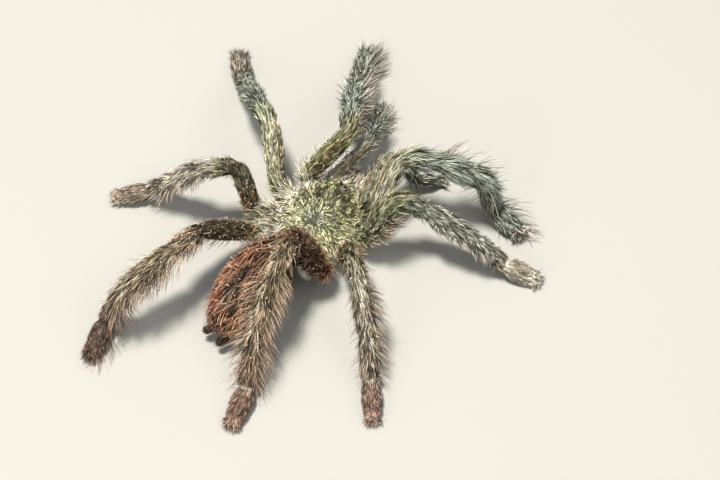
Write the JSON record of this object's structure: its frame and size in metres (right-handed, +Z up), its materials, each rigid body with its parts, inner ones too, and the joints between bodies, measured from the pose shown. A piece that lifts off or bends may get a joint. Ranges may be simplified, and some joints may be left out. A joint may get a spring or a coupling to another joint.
{
  "type": "pink toe tarantula",
  "caption": "Still, life-size tarantula in a low walking stance, with a furred body, legs and feelers parted into their joints, and flat soles.",
  "frame": {"origin": "on the floor, under the middle of the outline's box", "axes": "+Z up, the head towards -Y and the animal's left side towards +X"},
  "size_m": [0.075, 0.082, 0.0187],
  "materials": {
    "front_leg_coat": "slate blue-grey short bristles with pale tips",
    "rear_leg_coat": "dark brown-grey bristles with pinkish tips",
    "foot_coat": "dense short rose-pink hairs",
    "carapace_coat": "flat olive-grey hairs that run outwards from the middle",
    "underside_coat": "short dark brown hairs",
    "abdomen_coat": "long rusty red hairs over black",
    "spinneret_skin": "dark short-haired skin",
    "chelicera_coat": "grey short bristles",
    "fang_horn": "polished black horn",
    "eye_lens": "glossy dark lenses on a low dark mound"
  },
  "bodies": {
    "root": {"abdomen": "abdomen_coat", "carapace": "carapace_coat", "eye_mound": "eye_lens", "left_chelicera": "chelicera_coat", "left_fang": "fang_horn", "left_leg_1_femur": "front_leg_coat", "left_leg_1_metatarsus": "front_leg_coat", "left_leg_1_patella": "front_leg_coat", "left_leg_1_tarsus": "foot_coat", "left_leg_1_tibia": "front_leg_coat", "left_leg_2_femur": "front_leg_coat", "left_leg_2_metatarsus": "front_leg_coat", "left_leg_2_patella": "front_leg_coat", "left_leg_2_tarsus": "foot_coat", "left_leg_2_tibia": "front_leg_coat", "left_leg_3_femur": "rear_leg_coat", "left_leg_3_metatarsus": "rear_leg_coat", "left_leg_3_patella": "rear_leg_coat", "left_leg_3_tarsus": "foot_coat", "left_leg_3_tibia": "rear_leg_coat", "left_leg_4_femur": "rear_leg_coat", "left_leg_4_metatarsus": "rear_leg_coat", "left_leg_4_patella": "rear_leg_coat", "left_leg_4_tarsus": "foot_coat", "left_leg_4_tibia": "rear_leg_coat", "left_palp_femur": "front_leg_coat", "left_palp_patella": "front_leg_coat", "left_palp_tarsus": "foot_coat", "left_palp_tibia": "front_leg_coat", "left_spinneret": "spinneret_skin", "pedicel": "underside_coat", "right_chelicera": "chelicera_coat", "right_fang": "fang_horn", "right_leg_1_femur": "front_leg_coat", "right_leg_1_metatarsus": "front_leg_coat", "right_leg_1_patella": "front_leg_coat", "right_leg_1_tarsus": "foot_coat", "right_leg_1_tibia": "front_leg_coat", "right_leg_2_femur": "front_leg_coat", "right_leg_2_metatarsus": "front_leg_coat", "right_leg_2_patella": "front_leg_coat", "right_leg_2_tarsus": "foot_coat", "right_leg_2_tibia": "front_leg_coat", "right_leg_3_femur": "rear_leg_coat", "right_leg_3_metatarsus": "rear_leg_coat", "right_leg_3_patella": "rear_leg_coat", "right_leg_3_tarsus": "foot_coat", "right_leg_3_tibia": "rear_leg_coat", "right_leg_4_femur": "rear_leg_coat", "right_leg_4_metatarsus": "rear_leg_coat", "right_leg_4_patella": "rear_leg_coat", "right_leg_4_tarsus": "foot_coat", "right_leg_4_tibia": "rear_leg_coat", "right_palp_femur": "front_leg_coat", "right_palp_patella": "front_leg_coat", "right_palp_tarsus": "foot_coat", "right_palp_tibia": "front_leg_coat", "right_spinneret": "spinneret_skin", "underside": "underside_coat"}
  },
  "joints": []
}
